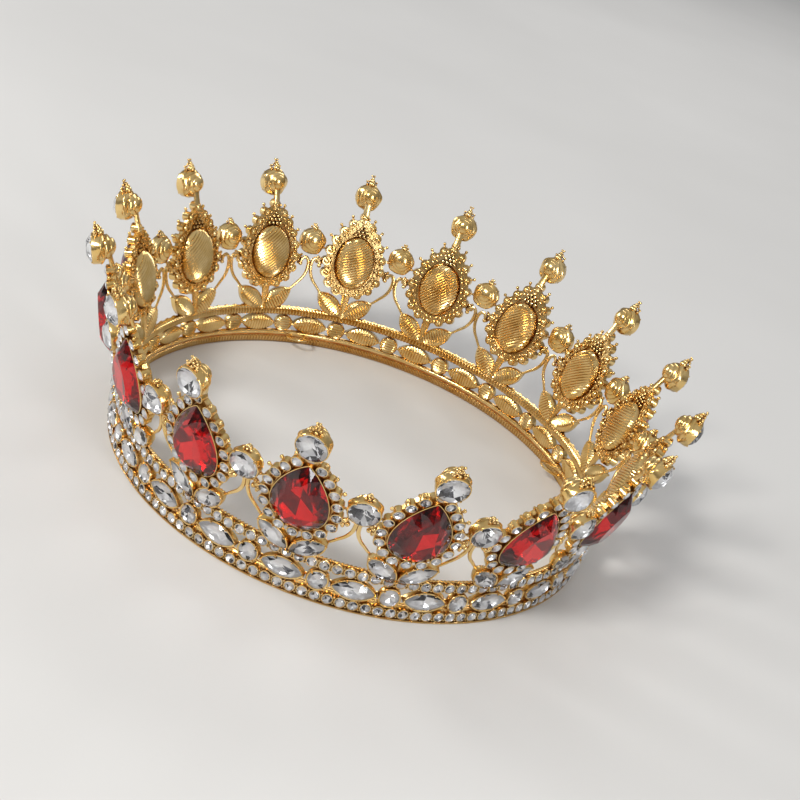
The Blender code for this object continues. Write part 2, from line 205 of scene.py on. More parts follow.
PEAK_UP, PEAK_LIFT = seat_up_lift(peak_seat)
SIDE_UP, SIDE_LIFT = seat_up_lift(side_seat)


def wall_frame(angle, across=0, up=0, lift=0, spin=0, lean=None):
    """Matrix of a place on the wall, which leans out above the bend and is upright below it."""
    turn = angle + across / (SEAT_RADIUS + max(up, 0) * math.sin(FLARE))
    lean = (FLARE if up > 0 else 0) if lean is None else lean
    out = Vector((math.cos(turn), math.sin(turn), 0))
    along = Vector((-math.sin(turn), math.cos(turn), 0))
    rise = out * math.sin(lean) + UP * math.cos(lean)
    normal = along.cross(rise)
    foot = UP * BEND + out * SEAT_RADIUS + rise * up + normal * lift
    axes = Matrix((along, rise, normal)).transposed().to_4x4()
    return Matrix.Translation(foot) @ axes @ Matrix.Rotation(spin, 4, "Z")


def motif_angle(number):
    return FRONT + number * TURN / MOTIFS


# ---------------------------------------------------------------- outlines


def circle(radius, count):
    """count points, the first at the top middle; clockwise, seen from outside."""
    angles = [TURN * i / count for i in range(count)]
    return [Vector((radius * math.sin(t), radius * math.cos(t))) for t in angles]


def marquise(size, count, margin=0):
    """count points, the first at the top middle, the tips at +X and -X."""
    half, bulge = size[0] / 2 + margin, size[1] / 2 + margin
    radius = (half**2 + bulge**2) / (2 * bulge)
    spread = math.asin(half / radius)
    points = []
    for i in range(count):
        turn = 4 * i / count
        facing = 1 if turn < 1 or turn >= 3 else -1
        share = turn if turn < 1 else turn - 4 if turn >= 3 else 2 - turn
        t = spread * share
        points.append(Vector((radius * math.sin(t), facing * (radius * math.cos(t) - radius + bulge))))
    return points


def pear_raw(t):
    return math.sin(t) * abs(math.sin(t / 2)) ** PEAR_POINTEDNESS


PEAR_WIDEST = max(pear_raw(math.pi * i / 400) for i in range(400))


def pear_at(t, margin=0):
    """Point of the pear, t from 0 at the tip; clockwise, seen from outside."""

    def bare(t):
        return Vector((PEAR_WIDTH / 2 * pear_raw(t) / PEAR_WIDEST, PEAR_LENGTH / 2 * math.cos(t)))

    if not margin:
        return bare(t)
    along = bare(t + 0.02) - bare(t - 0.02)
    normal = Vector((-along.y, along.x)) if min(t, TURN - t) > 0.01 else Vector((0, 1))
    return bare(t) + normal.normalized() * margin


def pear(count, margin=0):
    """count points spaced evenly along the pear's outline, the first at the tip."""
    fine = 720
    walk = [pear_at(TURN * i / fine, margin) for i in range(fine + 1)]
    lengths = [0]
    for a, b in zip(walk, walk[1:]):
        lengths.append(lengths[-1] + (b - a).length)
    points, i = [], 0
    for n in range(count):
        goal = lengths[-1] * n / count
        while lengths[i + 1] < goal:
            i += 1
        share = (goal - lengths[i]) / (lengths[i + 1] - lengths[i])
        points.append(walk[i].lerp(walk[i + 1], share))
    return points


# ---------------------------------------------------------------- shapes


class Shape:
    """Small shapes gathered into one mesh."""

    def __init__(self):
        self.points, self.faces, self.numbers, self.smooth = [], [], [], []

    def add(self, points, faces, place=None, number=0, smooth=True):
        """number is one material number, or a list with one for each face."""
        start = len(self.points)
        self.points += [place @ p for p in points] if place else points
        self.faces += [[start + i for i in face] for face in faces]
        self.numbers += number if isinstance(number, list) else [number] * len(faces)
        self.smooth += [smooth] * len(faces)

    def loft(self, rings, place=None, number=0, closed=(True, True)):
        """Surface through rings of equal count, with caps where closed says so."""
        count = len(rings[0])
        faces = []
        for level in range(len(rings) - 1):
            for i in range(count):
                a, b = level * count + i, level * count + (i + 1) % count
                faces.append([a, a + count, b + count, b])
        last = (len(rings) - 1) * count
        if closed[0]:
            faces.append(list(range(count)))
        if closed[1]:
            faces.append([last + count - 1 - i for i in range(count)])
        self.add([p for ring in rings for p in ring], faces, place, number)

    def make(self, name, materials, body="root"):
        """The mesh object of this name, which rides on a CAD body."""
        mesh = bpy.data.meshes.new(name)
        mesh.from_pydata([tuple(p) for p in self.points], [], self.faces)
        mesh.polygons.foreach_set("material_index", self.numbers)
        mesh.polygons.foreach_set("use_smooth", self.smooth)
        if any(self.smooth):
            mesh.set_sharp_from_angle(angle=SHARP_ANGLE)
        for material in materials:
            mesh.materials.append(material)
        mesh.validate()
        obj = bpy.data.objects.new(name, mesh)
        bpy.context.scene.collection.objects.link(obj)
        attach(obj, body)
        return obj


def at(outline, height, share=1):
    """The outline at a height, scaled by share."""
    return [Vector((p.x * share, p.y * share, height)) for p in outline]


def add_bead(shape, place, radius, squash=1, sides=8, levels=5):
    rings = []
    for level in range(1, levels):
        t = math.pi * level / levels
        rings.append(at(circle(radius * math.sin(t), sides), radius * squash * math.cos(t)))
    points = [p for ring in rings for p in ring]
    faces = []
    for level in range(levels - 2):
        for i in range(sides):
            a, b = level * sides + i, level * sides + (i + 1) % sides
            faces.append([a, b, b + sides, a + sides])
    top, bottom = len(points), len(points) + 1
    points += [Vector((0, 0, radius * squash)), Vector((0, 0, -radius * squash))]
    low = (levels - 2) * sides
    for i in range(sides):
        faces.append([top, (i + 1) % sides, i])
        faces.append([bottom, low + i, low + (i + 1) % sides])
    shape.add(points, faces, place)


def add_grain(shape, place, spot, radius):
    """Small coarse bead at a spot of a place."""
    add_bead(shape, place @ Matrix.Translation(spot), radius, sides=6, levels=4)


def add_tube(shape, path, outs, radii, sides=8, flat=1, closed=False):
    """Round wire along a path; outs point off the wall, flat squeezes it that way."""
    rings = []
    last = len(path) - 1
    for i, here in enumerate(path):
        before = path[(i - 1) % len(path)] if closed else path[max(i - 1, 0)]
        after = path[(i + 1) % len(path)] if closed else path[min(i + 1, last)]
        way = (after - before).normalized()
        side = way.cross(outs[i]).normalized()
        front = side.cross(way) * flat
        angles = [TURN * k / sides for k in range(sides)]
        rings.append([here + (side * math.cos(t) + front * math.sin(t)) * radii[i] for t in angles])
    if closed:
        rings.append(rings[0])
    shape.loft(rings, closed=(not closed, not closed))


def add_wall_tube(shape, frames, radii, flat):
    """Wire through places on the wall."""
    outs = [frame.col[2].to_3d() for frame in frames]
    add_tube(shape, [frame.translation for frame in frames], outs, radii, flat=flat)


def add_ring(shape, profile, steps=288, number=0):
    """Ring of a closed (radius, height) profile; a profile may be a function of the angle."""
    rings = []
    for step in range(steps):
        t = TURN * step / steps
        here = profile(t) if callable(profile) else profile
        rings.append([Vector((r * math.cos(t), r * math.sin(t), z)) for r, z in here])
    rings.append(rings[0])
    shape.loft(rings, number=number, closed=(False, False))


def smooth_path(knots, steps=6):
    """Catmull-Rom curve through the knots."""
    ends = [knots[0] * 2 - knots[1]] + knots + [knots[-1] * 2 - knots[-2]]
    points = []
    for a, b, c, d in zip(ends, ends[1:], ends[2:], ends[3:]):
        for i in range(steps):
            t = i / steps
            points.append(
                0.5 * (2 * b + (c - a) * t + (2 * a - 5 * b + 4 * c - d) * t**2
                       + (3 * b - a - 3 * c + d) * t**3)
            )
    return points + [knots[-1]]


# ---------------------------------------------------------------- stones

# Material numbers: glass, foil, and SHADE, the dark foil painted on some facets as painted shade and dark
# reflection.
GLASS, FOIL, SHADE = 0, 1, 2


def add_brilliant(shape, outline, place, cut, table=0.56, star=0.8, sides=8, bright=5):
    """Faceted stone over an outline of 2n points, clockwise, with a foil-backed underside.

    table and star are the sizes of the table and of the corners round it, of the outline's.
    bright is how many facets get the bright foil for each one that gets the dark foil, which is painted
    shade.
    """
    girdle, crown, depth = cut
    count = len(outline) // 2
    belt = BELT * (crown + depth)
    top = at(outline[::2], girdle + crown, table)
    middle = at(outline[1::2], girdle + crown * STAR_RISE, star)
    points = top + middle + at(outline, girdle) + at(outline, girdle - belt)
    faces = [list(range(count - 1, -1, -1))]
    m, u, w = count, 2 * count, 4 * count
    for i in range(count):
        j = (i + 1) % count
        before = m + (i - 1) % count
        faces.append([i, j, m + i])
        faces.append([i, m + i, u + 2 * i, before])
        faces.append([m + i, u + 2 * i + 1, u + 2 * i])
        faces.append([m + i, u + 2 * j, u + 2 * i + 1])
    for i in range(2 * count):
        j = (i + 1) % (2 * count)
        faces.append([u + i, u + j, w + j, w + i])
    shape.add(points, faces, place, GLASS, False)
    add_pavilion(shape, outline, place, girdle - belt, depth, sides, bright)


def add_pavilion(shape, outline, place, top, depth, sides, bright):
    """Foiled underside: a fan of facets to each corner of an inner ring, and a point, some of them dark as
    painted shade.
    """
    count, step = len(outline), len(outline) // sides
    ring = [outline[i * step] for i in range(sides)]
    inner = at(ring, top - depth * PAVILION_DROP, PAVILION_SHARE)
    points = at(outline, top) + inner + [Vector((0, 0, top - depth))]
    faces, numbers = [], []
    for i in range(sides):
        here, after = count + i, count + (i + 1) % sides
        first = i * step - step // 2
        fan = [[(first + k) % count, (first + k + 1) % count, here] for k in range(step)]
        faces += fan + [[(first + step) % count, after, here], [here, after, count + sides]]
        # Painted shade: at random, some facets get the dark foil instead of the bright one.
        numbers += random.choices((FOIL, SHADE), (bright, 1), k=len(fan) + 2)
    shape.add(points, faces, place, numbers, False)


def add_marquise_stone(shape, size, place, cut):
    add_brilliant(shape, marquise(size, 16), place, cut, table=0.42, star=0.72)


def add_small_stone(shape, place):
    """Small round stone, turned at random and set slightly crooked."""
    spin = Matrix.Rotation(random.uniform(0, TURN), 4, "Z")
    tip = Matrix.Rotation(random.gauss(0, SMALL_TILT), 4, "X")
    add_brilliant(shape, circle(SMALL, 16), place @ tip @ spin, SMALL_CUT, sides=4)


# ---------------------------------------------------------------- cups


def add_cup(shape, outline_at, place, top, low, count):
    """Metal wall round a stone; outline_at(count, margin) gives its outline."""
    profile = (
        (CUP_WALL, low), (CUP_WALL, top - CUP_LIP * 1.5), (CUP_WALL - CUP_LIP, top),
        (CUP_LIP, top), (CUP_INSIDE, top - CUP_LIP), (CUP_INSIDE, low),
    )
    rings = [at(outline_at(count, margin), height) for margin, height in profile]
    shape.loft(rings + rings[:1], place, closed=(False, False))


def add_ribbed_back(shape, half_width, length, place, low, dome, pitch=RIB, columns=8, shear=0):
    """Domed back with ribs across it; half_width(s) is its half width at s from -1 to 1."""
    ribs = round(length / pitch)
    rows = ribs * 4
    points, faces = [], []
    for row in range(rows + 1):
        s = -1 + 2 * row / rows
        wide = max(half_width(s), 0.02 * MM)
        ripple = math.cos(TURN * ribs * row / rows)
        for column in range(columns + 1):
            c = -1 + 2 * column / columns
            bulge = math.sqrt(max(1 - s * s, 0)) * math.sqrt(max(1 - c * c, 0))
            depth = low - dome * bulge**0.8 - RIB_DEPTH * ripple * bulge**0.5
            points.append(Vector((wide * c + shear * s, length / 2 * s, depth)))
    for row in range(rows):
        for column in range(columns):
            a = row * (columns + 1) + column
            faces.append([a, a + columns + 1, a + columns + 2, a + 1])
    shape.add(points, faces, place)


def add_oval_back(shape, place, turn):
    """Oval dome behind a red stone, whose ribs run at an angle to its width."""
    a, b = DOME[0] / 2, DOME[1] / 2
    half = math.hypot(b * math.cos(turn), a * math.sin(turn))
    shear = (a * a - b * b) * math.sin(turn) * math.cos(turn) / half
    across = round_half_width(a * b / half)
    turned = place @ Matrix.Rotation(-turn, 4, "Z")
    add_ribbed_back(shape, across, 2 * half, turned, DOME_LOW, DOME_DEEP, DOME_PITCH, 16, shear)


def marquise_half_width(size):
    """Half width of a marquise as a function of the place along it, from -1 to 1."""
    half, bulge = size[0] / 2, size[1] / 2
    radius = (half**2 + bulge**2) / (2 * bulge)
    return lambda s: math.sqrt(max(radius**2 - (half * s) ** 2, 0)) - radius + bulge


def round_half_width(radius):
    """The same for a circle."""
    return lambda s: radius * math.sqrt(max(1 - s * s, 0))


def small_cup(shape, place, low=-0.1 * MM):
    profile = (  # share of the stone's radius, and height
        (1.05, low), (1.18, 0.3 * MM), (1.16, 0.58 * MM), (1.0, 0.62 * MM), (0.98, 0.1 * MM),
    )
    rings = [at(circle(SMALL * share, 12), height) for share, height in profile]
    shape.loft(rings, place, closed=(True, False))


QUARTER = Matrix.Rotation(math.pi / 2, 4, "Z")


# ---------------------------------------------------------------- base band

REDDISH = 1  # number of the reddish gilding, for the wire in the groove inside the rim


def rope(radius, low, high, thick, deep, slant=0.0):
    """Profile function: a rounded strip that stands inwards, with ribs across it."""
    rows, middle, half = 7, (low + high) / 2, (high - low) / 2

    def profile(t):
        points = []
        for row in range(rows + 1):
            a = math.pi * (0.5 - row / rows)
            stand = thick + deep * math.cos(ROPE_RIBS * t + slant * row / rows)
            out = stand * max(math.cos(a), 0) ** 0.6
            rise = half * math.copysign(abs(math.sin(a)) ** 0.75, a)
            points.append((radius - out, middle + rise))
        return points

    return profile


def wire_profile(radius, height, across, tall, sides=10):
    """Profile of a round or oval wire."""
    angles = [TURN * k / sides for k in range(sides)]
    return [(radius + across / 2 * math.cos(t), height + tall / 2 * math.sin(t)) for t in angles]


def make_band():
    """Rim, the ribbed strip and smooth wire inside it, the band's wire and the upper rail."""
    shape = Shape()
    inner = SEAT_RADIUS - RIM_DEPTH
    base_top = ROW_HIGH + 0.8 * MM
    lip = SEAT_RADIUS + 0.75 * MM
    add_ring(shape, [
        (inner + 0.2 * MM, 0.05 * MM), (inner + 0.5 * MM, 0), (lip - 0.15 * MM, 0), (lip, 0.12 * MM),
        (lip, 0.32 * MM), (lip - 0.2 * MM, 0.48 * MM), (SEAT_RADIUS, 0.5 * MM),
        (SEAT_RADIUS, base_top - 0.15 * MM), (SEAT_RADIUS - 0.15 * MM, base_top),
        (inner + 0.35 * MM, base_top), (inner + 0.2 * MM, base_top - 0.1 * MM),
    ])
    strip = rope(inner + 0.3 * MM, 0.05 * MM, 2.1 * MM, 0.45 * MM, 0.26 * MM)
    add_ring(shape, strip, ROPE_STEPS)
    add_ring(shape, wire_profile(inner + 0.1 * MM, 2.3 * MM, 0.4 * MM, 0.6 * MM), number=REDDISH)
    add_ring(shape, wire_profile(inner - 0.05 * MM, base_top - 0.6 * MM, 1.1 * MM, 1.2 * MM))
    rail = rope(SEAT_RADIUS, BEND - ROW_TALL, BEND + 0.2 * MM, 1.15 * MM, 0.28 * MM, 4.0)
    add_ring(shape, rail, ROPE_STEPS)
    add_ring(shape, wire_profile(SEAT_RADIUS - 0.5 * MM, BAND_MIDDLE, 0.5 * MM, 0.6 * MM, 6))
    return shape


def add_row_metal(shape, height):
    """Cups of one row of small stones, and the grains between them."""
    for number in range(ROW_COUNT):
        angle = FRONT + TURN * number / ROW_COUNT
        small_cup(shape, wall_frame(angle, up=height - BEND, lean=0, lift=ROW_LIFT))
        between = angle + TURN / ROW_COUNT / 2
        for side in (1, -1):
            up = height - BEND + side * GRAIN_SHIFT
            place = wall_frame(between, up=up, lift=0.5 * MM, lean=0)
            add_bead(shape, place, GRAIN, sides=6, levels=4)


def add_claws(shape, place, reach, height, radius):
    """Four beads over the edge of a round stone."""
    for k in range(4):
        t = math.pi / 4 + k * math.pi / 2
        add_grain(shape, place, Vector((reach * math.cos(t), reach * math.sin(t), height)), radius)


def add_band_cups(shape):
    """Cups of the band's round and marquise stones, in turn."""
    up, dome = BAND_MIDDLE - BEND, 0.8 * MM
    back = BAND_ROUND + CUP_WALL
    for unit in range(BAND_UNITS):
        angle = FRONT + (unit + 0.5) * TURN / BAND_UNITS
        place = wall_frame(angle, up=up, lean=0)
        add_cup(shape, lambda n, m: circle(BAND_ROUND + m, n), place, 0.85 * MM, BAND_CUP_LOW, 20)
        add_ribbed_back(shape, round_half_width(back), 2 * back, place, BAND_CUP_LOW, dome)
        add_claws(shape, place, BAND_ROUND + 0.05 * MM, 1.0 * MM, CLAW)
        place = wall_frame(angle + TURN / BAND_UNITS / 2, up=up, lean=0)
        add_marquise_cup(shape, BAND_MARQUISE, place, BAND_CUP_LOW, dome)


def add_marquise_cup(shape, size, place, low, dome):
    """Cup, ribbed back, and a bead at each tip and four claws of a marquise stone."""
    top = 0.8 * MM
    add_cup(shape, lambda n, m: marquise(size, n, m), place, top, low, 28)
    back = (size[0] + 2 * CUP_WALL, size[1] + 2 * CUP_WALL)
    add_ribbed_back(shape, marquise_half_width(back), back[0], place @ QUARTER, low, dome, columns=6)
    height = 0.85 * MM
    for side in (1, -1):
        add_grain(shape, place, Vector((side * (size[0] / 2 + 0.05 * MM), 0, height)), 0.36 * MM)
        for edge in (1, -1):
            spot = Vector((side * size[0] * 0.2, edge * size[1] * 0.43, height))
            add_grain(shape, place, spot, CLAW)


# ---------------------------------------------------------------- motifs

# Granules over a dome: height above the red stone's middle in mm, and their number
GRANULE_ROWS = ((6.3, 4), (7.3, 3), (8.2, 2), (9.0, 1))
# Small stones of a halo, counted clockwise from the tip, that have these beside them
WITH_STALK = (1, 2, 3, 4, 14, 15, 16, 17)
WITH_CLUSTER = (5, 13)
# Granules behind a small stone: inwards, along the halo, radius, in mm
GRANULES = ((1.25, 0.55, 0.4), (1.25, -0.55, 0.4), (0.15, 1.1, 0.42))
# Beads of a cluster: away from the red stone, along the halo, radius, in mm
CLUSTER = (
    (1.55, 0.55, 0.62), (1.55, -0.55, 0.62), (2.45, 0, 0.6),
    (1.9, 1.15, 0.42), (1.9, -1.15, 0.42), (0.9, 0, 0.5),
)
# Rim of a round cup: from the stone's edge, and height, in mm
ROUND_RIM = ((-0.05, 0.2), (-0.05, 1.05), (0.05, 1.15), (0.22, 1.1), (0.3, 0.9), (0.28, -0.5))
# Scroll: from the line between two motifs, and up from the bend, in mm
SCROLL_KNOTS = (
    (-2.3, 12.4), (-2.0, 13.6), (-0.9, 14.2), (-0.1, 13.4),
    (0, 12.0), (-0.35, 10.2), (-1.3, 8.4), (-2.7, 6.9),
)


def leaf_place(angle, side):
    half = LEAF[0] / 2
    across = LEAF_START[0] + half * math.cos(LEAF_TILT)
    up = LEAF_START[1] + half * math.sin(LEAF_TILT)
    return wall_frame(angle, side * across, up, spin=side * LEAF_TILT)


def halo_places(angle):
    """Places of the small stones round a red stone, from the tip clockwise."""
    spots = pear(HALO_COUNT, HALO_REACH)
    spots[0] = Vector((0, PEAR_LENGTH / 2 + TIP_REACH))
    return [(spot, wall_frame(angle, spot.x, RED_UP + spot.y, HALO_LIFT)) for spot in spots]


def add_halo(shape, angle):
    """Plate, thin bezel and domed back of a red stone, and the cups of its small stones."""
    centre = wall_frame(angle, up=RED_UP)
    outer, hole = pear(PEAR_STEPS, HALO_REACH + 0.3 * MM), pear(PEAR_STEPS, -0.2 * MM)
    add_flat_plate(shape, hole, outer, -PLATE_THICK, PLATE_TOP, centre)
    bezel = [at(pear(PEAR_STEPS, margin), height) for margin, height in BEZEL]
    shape.loft(bezel + bezel[:1], centre, closed=(False, False))
    oval = [
        Vector((p.x * DOME[0] * DOME_EDGE, p.y * DOME[1] * DOME_EDGE - DOME_DOWN))
        for p in circle(1, PEAR_STEPS)
    ]
    add_flat_plate(shape, oval, hole, *RECESS_HEIGHTS, centre)
    turn = random.uniform(0.35, 0.8)
    add_oval_back(shape, centre @ Matrix.Translation((0, -DOME_DOWN, 0)), turn)
    add_granule_rows(shape, centre)
    for number, (spot, place) in enumerate(halo_places(angle)):
        small_cup(shape, place, -1.2 * MM)
        away = spot.normalized()
        add_granules(shape, place, away)
        if number in WITH_STALK:
            add_stalked_bead(shape, place, away)
        if number in WITH_CLUSTER:
            add_cluster(shape, place, away)


def add_flat_plate(shape, inside, outside, low, high, place):
    """Plate between two outlines."""
    rings = [at(inside, low), at(outside, low), at(outside, high), at(inside, high)]
    shape.loft(rings + rings[:1], place, closed=(False, False))


def add_granule_rows(shape, centre):
    """Cast lumps that fill the plate's back between a dome and its tip."""
    pitch = 1.15
    for up, count in GRANULE_ROWS:
        for number in range(count):
            across = (number - (count - 1) / 2) * pitch
            spot = Vector((across, up, random.uniform(-1.05, -0.95))) * MM
            add_grain(shape, centre, spot, random.uniform(0.5, 0.62) * MM)


def add_granules(shape, place, away):
    """The cast lumps behind one small stone of a halo."""
    across = Vector((-away.y, away.x))
    add_bead(shape, place @ Matrix.Translation((0, 0, -1.35 * MM)), 0.8 * MM, squash=0.7)
    for inward, along, radius in GRANULES:
        spot = (across * along - away * inward) * MM
        add_grain(shape, place, (spot.x, spot.y, -1.45 * MM), radius * MM)


def add_stalked_bead(shape, place, away):
    """Bead on a short stalk that points away from the red stone."""
    reach = SMALL + 0.85 * MM
    end = place @ Vector((away.x * reach, away.y * reach, 0.1 * MM))
    start = place @ Vector((away.x * SMALL, away.y * SMALL, 0.0))
    out = place.col[2].to_3d()
    add_tube(shape, [start, end], [out, out], [0.3 * MM, 0.22 * MM], sides=6)
    add_bead(shape, Matrix.Translation(end), 0.46 * MM)


def add_cluster(shape, place, away):
    """Little bunch of beads that points away from the red stone."""
    across = Vector((-away.y, away.x))
    for reach, shift, radius in CLUSTER:
        spot = away * reach * MM + across * shift * MM
        add_bead(shape, place @ Matrix.Translation((spot.x, spot.y, 0.15 * MM)), radius * MM)


def cone_ring(s, depth, sides):
    """Ring of the cone at s, from 0 at its rim to 1 at its end: three bulges and slanting flutes."""
    folds = 0.13 * abs(math.sin(3 * math.pi * s)) - 0.06 * math.sin(math.pi * s)
    radius = ((ROUND + 0.2 * MM) * (1 - s) ** 0.62 + 0.5 * MM * s) * (1 + folds)
    ring = []
    for i, p in enumerate(circle(1, sides)):
        r = radius * (1 + 0.06 * (1 - s) * math.cos(TURN * (i / 6 + s)))
        ring.append(Vector((p.x * r, p.y * r + 0.5 * MM * s, -0.5 * MM - depth * s)))
    return ring


def add_round_cup(shape, place, depth, finial):
    """Thin rim and a deep folded cone behind a round stone, with beads above it."""
    sides, steps = 30, 18
    rings = [at(circle(ROUND + margin * MM, sides), height * MM) for margin, height in ROUND_RIM]
    rings += [cone_ring(step / steps, depth, sides) for step in range(1, steps + 1)]
    shape.loft(rings[::-1], place, closed=(True, False))
    add_claws(shape, place, ROUND + 0.1 * MM, 1.15 * MM, 0.28 * MM)
    for x, y, lift, radius in finial:
        spot = Vector((x, y, lift)) * MM + Vector((0, ROUND + 0.3 * MM, 0))
        add_bead(shape, place @ Matrix.Translation(spot), radius * MM)


# Beads over a round stone: across, up from the cup's rim, off the wall, radius, in mm
PEAK_FINIAL = (
    (0, 0.2, -0.7, 1.0), (0, 1.0, -0.6, 0.7), (0, 1.7, -0.35, 0.45), (0, 0.1, 0.3, 0.5),
    (-1.15, 0.0, 0.2, 0.45), (1.15, 0.0, 0.2, 0.45), (-1.35, 0.7, 0.3, 0.33), (-0.75, 0.8, 0.35, 0.33),
    (1.35, 0.7, 0.3, 0.33), (0.75, 0.8, 0.35, 0.33), (-0.32, 1.3, 0.3, 0.34), (0.32, 1.3, 0.3, 0.34),
    (0, 1.85, 0.2, 0.33), (-0.32, 2.4, 0.15, 0.32), (0.32, 2.4, 0.15, 0.32),
)
SIDE_FINIAL = (
    (0, 0.1, -0.5, 0.8), (0, 0.8, -0.35, 0.5), (-0.85, 0.35, 0.25, 0.33), (0.85, 0.35, 0.25, 0.33),
    (0, 0.5, 0.35, 0.36), (-0.3, 1.1, 0.2, 0.32), (0.3, 1.1, 0.2, 0.32),
)


def add_scroll(shape, angle, side):
    """C-scroll that hooks over beside a side stone and tapers down to the end of a leaf."""
    half = math.pi / MOTIFS * (SEAT_RADIUS + 12 * MM * math.sin(FLARE))
    meet = half - 0.42 * MM
    leaf_end = Vector((
        LEAF_START[0] + LEAF[0] * math.cos(LEAF_TILT), LEAF_START[1] + LEAF[0] * math.sin(LEAF_TILT)
    ))
    knots = [Vector((meet + across * MM, up * MM)) for across, up in SCROLL_KNOTS]
    knots.append(Vector((leaf_end.x + 0.3 * MM, leaf_end.y + 0.45 * MM)))
    knots.append(leaf_end - Vector((1.0 * MM, 0.3 * MM)))
    path = smooth_path(knots)
    frames = [wall_frame(angle, side * p.x, p.y, -0.35 * MM) for p in path]
    radii = []
    for i in range(len(path)):
        share = min(i / (len(path) - 1) + 0.15, 1)
        radii.append(WIRE * (0.75 + 0.35 * math.sin(math.pi * share)))
    add_wall_tube(shape, frames, radii, 0.85)
    add_bead(shape, frames[0], WIRE * 1.35)


def make_motifs():
    halos, cups, scrolls = Shape(), Shape(), Shape()
    for number in range(MOTIFS):
        angle, between = motif_angle(number), motif_angle(number + 0.5)
        add_halo(halos, angle)
        for side in (1, -1):
            add_marquise_cup(cups, LEAF, leaf_place(angle, side), -0.5 * MM, 1.0 * MM)
            add_scroll(scrolls, angle, side)
        add_foot(cups, angle)
        add_round_cup(cups, wall_frame(angle, up=PEAK_UP, lift=PEAK_LIFT), 3.5 * MM, PEAK_FINIAL)
        add_round_cup(cups, wall_frame(between, up=SIDE_UP, lift=SIDE_LIFT), 2.3 * MM, SIDE_FINIAL)
        add_neck(cups, angle)
    return halos, cups, scrolls


def add_foot(shape, angle):
    """Post behind the V, from the rail to the halo plate."""
    ups = [-0.8 * MM, 1.2 * MM, 3.0 * MM, RED_UP - PEAR_LENGTH / 2 - HALO_REACH]
    frames = [wall_frame(angle, up=up, lift=-0.7 * MM, lean=FLARE) for up in ups]
    add_wall_tube(shape, frames, [0.8 * MM, 0.7 * MM, 0.9 * MM, 1.2 * MM], 0.6)


def add_neck(shape, angle):
    """Neck from the halo plate's tip to the peak cup."""
    ups = [PEAR_TIP + 0.8 * MM, PEAR_TIP + 2.5 * MM, PEAK_UP - 2.6 * MM, PEAK_UP - 1.0 * MM]
    lifts = [-0.5 * MM, -0.4 * MM, 0.0, 0.3 * MM]
    frames = [wall_frame(angle, up=up, lift=lift) for up, lift in zip(ups, lifts)]
    add_wall_tube(shape, frames, [1.2 * MM, 1.0 * MM, 0.9 * MM, 1.1 * MM], 0.6)


def make_eyelets():
    """Wire loops inside the rim, for pins or combs, that rise a little towards the middle."""
    shape, steps = Shape(), 28
    reach = SEAT_RADIUS - RIM_DEPTH - EYELET_RADIUS
    for number in range(EYELETS):
        turn = FRONT + EYELET_TURN + number * TURN / EYELETS
        out = Vector((math.cos(turn), math.sin(turn), 0))
        along = Vector((-math.sin(turn), math.cos(turn), 0))
        centre = out * reach + UP * (ROW_HIGH + 0.45 * MM)
        tip = UP * 0.25 + along * 0.1
        path = []
        for i in range(steps):
            t = TURN * i / steps
            arm = (out * math.cos(t) + along * math.sin(t)) * EYELET_RADIUS
            path.append(centre + arm + tip * arm.dot(-out))
        add_tube(shape, path, [UP] * steps, [EYELET_WIRE] * steps, closed=True)
        add_bead(shape, Matrix.Translation(centre + out * EYELET_RADIUS), 0.75 * MM, squash=0.7)
    return shape


# ---------------------------------------------------------------- materials


def new_material(name):
    """The material, its nodes and links, and its shader."""
    material = bpy.data.materials.new(name)
    material.use_nodes = True
    nodes, links = material.node_tree.nodes, material.node_tree.links
    return material, nodes, links, nodes["Principled BSDF"]


def mottled(nodes, links, scale, detail, low, high):
    """Coordinates, noise over them, and a colour ramp over the noise."""
    space = nodes.new("ShaderNodeTexCoord")
    noise = nodes.new("ShaderNodeTexNoise")
    noise.inputs["Scale"].default_value = scale
    noise.inputs["Detail"].default_value = detail
    links.new(space.outputs["Object"], noise.inputs["Vector"])
    ramp = nodes.new("ShaderNodeValToRGB")
    ramp.color_ramp.elements[0].position, ramp.color_ramp.elements[1].position = 0.35, 0.68
    ramp.color_ramp.elements[0].color, ramp.color_ramp.elements[1].color = low, high
    links.new(noise.outputs["Fac"], ramp.inputs["Fac"])
    return space, noise, ramp


def gold_material(name, low, high, deep, rough):
    """Mottled gilding with painted shade, browner in the crevices, and a fine cast grain."""
    material, nodes, links, shader = new_material(name)
    shader.inputs["Metallic"].default_value = 1
    space, noise, ramp = mottled(nodes, links, 260, 4, low, high)
    # Painted shade: ambient occlusion mixes the gilding towards the deep brown in crevices and between
    # parts.
    painted_crevice_shade = nodes.new("ShaderNodeAmbientOcclusion")
    painted_crevice_shade.inputs["Distance"].default_value = 1.5 * MM
    painted_crevice_shade.samples = 6
    mix = nodes.new("ShaderNodeMix")
    mix.data_type = "RGBA"
    mix.inputs["A"].default_value = deep
    links.new(painted_crevice_shade.outputs["AO"], mix.inputs["Factor"])
    links.new(ramp.outputs["Color"], mix.inputs["B"])
    links.new(mix.outputs["Result"], shader.inputs["Base Color"])
    fine = nodes.new("ShaderNodeTexNoise")
    fine.inputs["Scale"].default_value = 1500
    fine.inputs["Detail"].default_value = 3
    links.new(space.outputs["Object"], fine.inputs["Vector"])
    spread = nodes.new("ShaderNodeMapRange")
    spread.inputs["To Min"].default_value, spread.inputs["To Max"].default_value = rough
    links.new(noise.outputs["Fac"], spread.inputs["Value"])
    links.new(spread.outputs["Result"], shader.inputs["Roughness"])
    bump = nodes.new("ShaderNodeBump")
    bump.inputs["Strength"].default_value = 0.35
    bump.inputs["Distance"].default_value = 0.12 * MM
    links.new(fine.outputs["Fac"], bump.inputs["Height"])
    links.new(bump.outputs["Normal"], shader.inputs["Normal"])
    return material


